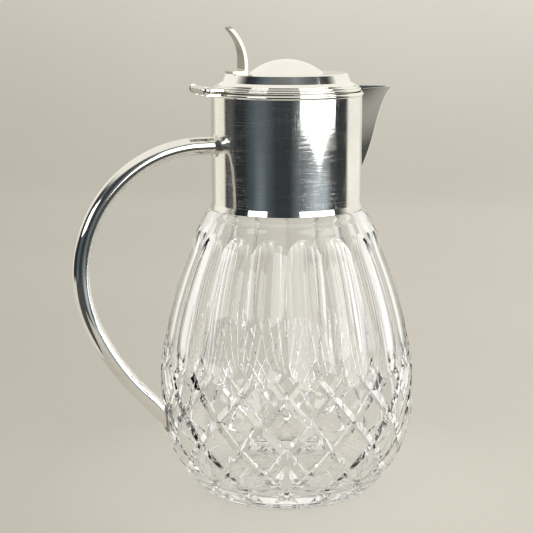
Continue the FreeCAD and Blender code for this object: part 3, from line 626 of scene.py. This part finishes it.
def window_card(name, corners, strength):
    """Bright window standing in front; corners are (turn to the right in degrees, level)."""
    away = 1.5
    verts = []
    for turn, level in corners:
        turn = math.radians(turn)
        verts.append(room_point(away * math.sin(turn), away * math.cos(turn), level))
    mesh = bpy.data.meshes.new(name)
    mesh.from_pydata(verts, [], [tuple(range(len(verts)))])
    card = bpy.data.objects.new(name, mesh)
    bpy.context.collection.objects.link(card)
    card.visible_camera = False
    made = Finish(name + "_light")
    cloud = made.grain(2.5, 3.0, 0.5)
    glow = made.ramp(cloud, [(0.3, (0.92, 0.92, 0.90)), (0.7, (1.0, 1.0, 0.975))])
    mesh.materials.append(made.close(made.node("ShaderNodeEmission", values={
        "Color": glow, "Strength": strength})))


def room():
    """Dim room in front, bright ceiling above and behind, and a pale tone where it is seen directly."""
    world = bpy.data.worlds.new("room")
    bpy.context.scene.world = world
    world.use_nodes = True
    made = Finish("room", world.node_tree)
    ray = made.node("ShaderNodeTexCoord", out="Generated")
    across = made.along(ray, RIGHT)
    ahead = made.along(ray, FRONT)
    height = made.along(ray, (0.0, 0.0, 1.0))
    # share of a whole turn, 0.5 straight in front, larger to the right
    turn = across.maths("ARCTAN2", ahead) / TURN + 0.5
    walls = made.ramp(turn, [
        (0.00, (0.45, 0.43, 0.37)), (0.10, (0.50, 0.48, 0.41)), (0.125, (0.95, 0.91, 0.79)),
        (0.196, (0.88, 0.85, 0.74)), (0.209, (0.045, 0.045, 0.045)), (0.245, (0.09, 0.09, 0.095)),
        (0.275, (0.016, 0.020, 0.022)), (0.315, (0.018, 0.022, 0.026)), (0.375, (0.095, 0.12, 0.14)),
        (0.41, (0.09, 0.11, 0.13)), (0.455, (0.035, 0.042, 0.048)), (0.515, (0.035, 0.04, 0.043)),
        (0.55, (0.14, 0.16, 0.17)), (0.60, (0.12, 0.135, 0.145)), (0.66, (0.06, 0.07, 0.075)),
        (0.70, (0.05, 0.055, 0.058)), (0.74, (0.03, 0.031, 0.033)), (0.782, (0.045, 0.045, 0.045)),
        (0.80, (0.95, 0.94, 0.86)), (0.90, (0.95, 0.93, 0.84)), (0.95, (0.55, 0.53, 0.47)),
        (1.00, (0.45, 0.43, 0.37))])
    ceiling = made.eased(height, 0.64, 0.82)
    back_wall = made.eased(ahead, 0.1, -0.4) * made.eased(height, 0.0, 0.16)
    white = ceiling.maths("MAXIMUM", back_wall).clamped()
    lit = made.blend(white, walls, (1.0, 0.98, 0.90, 1.0))
    # pale table top caught low on the right, and a little of it on the left
    table = made.ramp(turn, [(0.0, (0.0, 0.0, 0.0)), (0.36, (0.0, 0.0, 0.0)), (0.39, (0.22, 0.22, 0.22)),
                             (0.42, (0.0, 0.0, 0.0)), (0.57, (0.0, 0.0, 0.0)), (0.62, (1.0, 1.0, 1.0)),
                             (0.67, (0.9, 0.9, 0.9)), (0.70, (0.0, 0.0, 0.0))])
    lit = made.blend(table * made.eased(height, -0.095, -0.15), lit, (0.46, 0.52, 0.56, 1.0))
    under = made.eased(height, -0.17, -0.26)
    ground = made.ramp(turn, [(0.0, (0.50, 0.48, 0.42)), (0.10, (0.66, 0.64, 0.56)),
                              (0.31, (0.76, 0.74, 0.65)), (0.345, (0.07, 0.072, 0.07)),
                              (0.80, (0.07, 0.072, 0.07)), (0.862, (0.84, 0.82, 0.73)),
                              (1.0, (0.50, 0.48, 0.42))])
    seen = made.blend(under, lit, ground)
    bent = made.node("ShaderNodeLightPath", out="Is Transmission Ray")
    seen = made.blend(bent * 0.55, seen, (1.02, 1.01, 0.97, 1.0))
    camera = made.node("ShaderNodeLightPath", out="Is Camera Ray")
    shown = made.blend(camera, seen, (0.61, 0.584, 0.509, 1.0))
    background = made.node("ShaderNodeBackground", values={"Color": shown, "Strength": 1.0})
    output = made.tree.nodes.new("ShaderNodeOutputWorld")
    made.tree.links.new(background.socket, output.inputs["Surface"])


def camera():
    """Long lens, a little above the collar, looking slightly down."""
    data = bpy.data.cameras.new("camera")
    eye = bpy.data.objects.new("camera", data)
    bpy.context.collection.objects.link(eye)
    data.sensor_width = 36.0
    data.lens = 85.6
    data.shift_x = -20.0 / 533.0
    data.clip_start, data.clip_end = 0.01, 50.0
    eye.location = FRONT * EYE_DISTANCE + Vector((0, 0, EYE_HEIGHT))
    pitch = math.radians(11.6)
    look = -FRONT * math.cos(pitch) - Vector((0, 0, math.sin(pitch)))
    eye.rotation_euler = look.to_track_quat("-Z", "Y").to_euler()
    bpy.context.scene.camera = eye


backdrop()
room()
SILL = 0.086
WINDOW_STRENGTH = 3.4
window_card("right_window", [
    (20.5, 1.0), (20.5, SILL), (34, SILL - 0.02), (50, SILL - 0.066), (64, SILL - 0.02),
    (77.0, SILL + 0.005), (77.0, 1.0)], WINDOW_STRENGTH)
window_card("left_window", [(-60, 0.95), (-60, 0.44), (-30, 0.44), (-30, 0.95)], WINDOW_STRENGTH)
area_light("window", room_point(1.15, 0.97, 0.85), (0.0, 0.0, 0.15), 0.9, 0.8, 3.0, (1.0, 0.99, 0.965))
camera()

scene = bpy.context.scene
scene.view_settings.view_transform = "Standard"
scene.cycles.max_bounces = 24
scene.cycles.transmission_bounces = 24
scene.cycles.glossy_bounces = 8
scene.cycles.transparent_max_bounces = 16
scene.cycles.blur_glossy = 0.3
